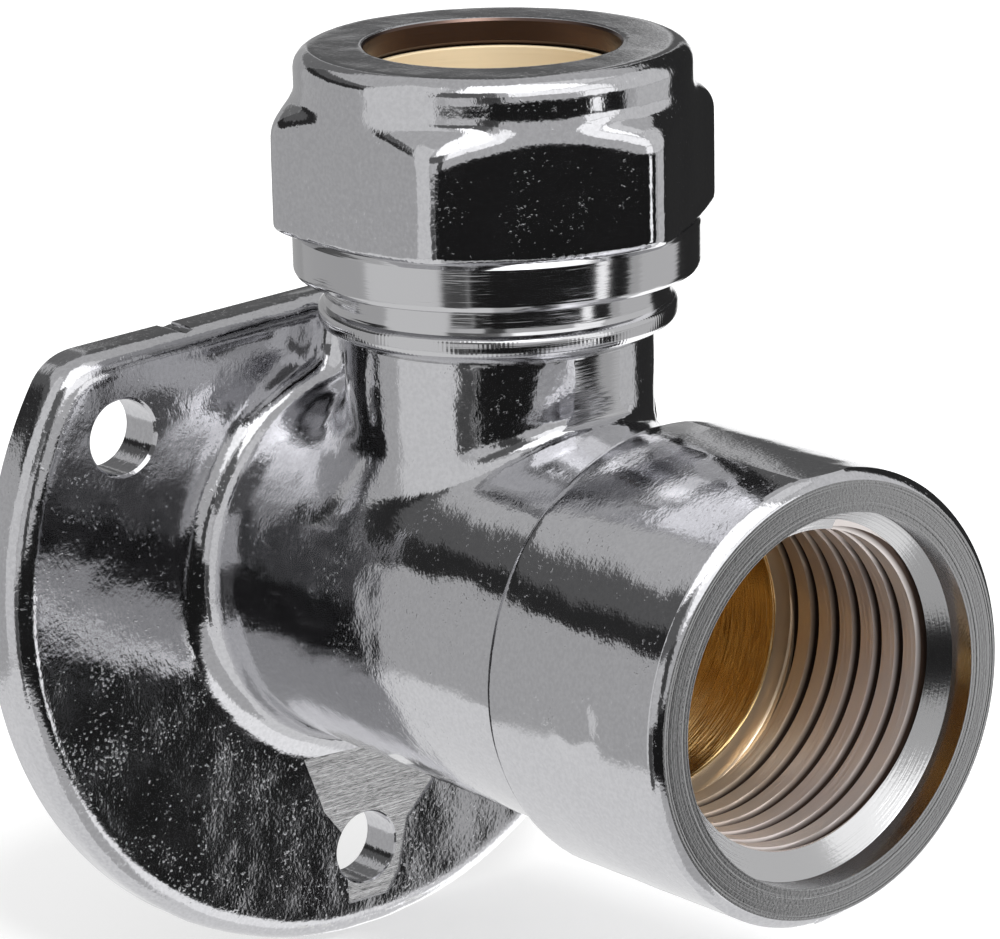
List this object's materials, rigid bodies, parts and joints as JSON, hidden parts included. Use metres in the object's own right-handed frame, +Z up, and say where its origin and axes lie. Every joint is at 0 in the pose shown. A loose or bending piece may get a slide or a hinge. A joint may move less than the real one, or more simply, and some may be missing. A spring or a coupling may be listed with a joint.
{
  "type": "wall plate elbow",
  "caption": "Chromed brass wall plate elbow: a compression nut and olive take a 15 mm pipe from above, and a female half-inch pipe thread faces the room.",
  "frame": {"origin": "centre of the wall plate's back face, on the axis of the threaded socket", "axes": "+Y into the wall, so the socket opens towards -Y; +Z up, the way the pipe leaves the compression end; +X to the right seen from the room"},
  "size_m": [0.0526, 0.0472, 0.0607],
  "materials": {
    "chromed_forging": "bright chrome plate over a forged brass surface",
    "chromed_nut": "bright chrome plate over a pressed brass nut",
    "olive_brass": "plain turned brass"
  },
  "bodies": {
    "fitting": {"elbow_body": "chromed_forging"},
    "olive": {"olive": "olive_brass"},
    "nut": {"compression_nut": "chromed_nut"}
  },
  "joints": [
    {"name": "olive_lift", "type": "slide", "parent": "fitting", "child": "olive", "axis": [0, 0, 1], "range_m": [0, 0.0064]},
    {"name": "nut_turn", "type": "hinge", "parent": "olive", "child": "nut", "pos_m": [0, -0.01765, 0.0275], "axis": [0, 0, 1], "range_deg": [0, 1260]}
  ],
  "couplings": [
    {"joint": "olive_lift", "follows": "nut_turn", "m_per_rad": 0.00028871}
  ]
}
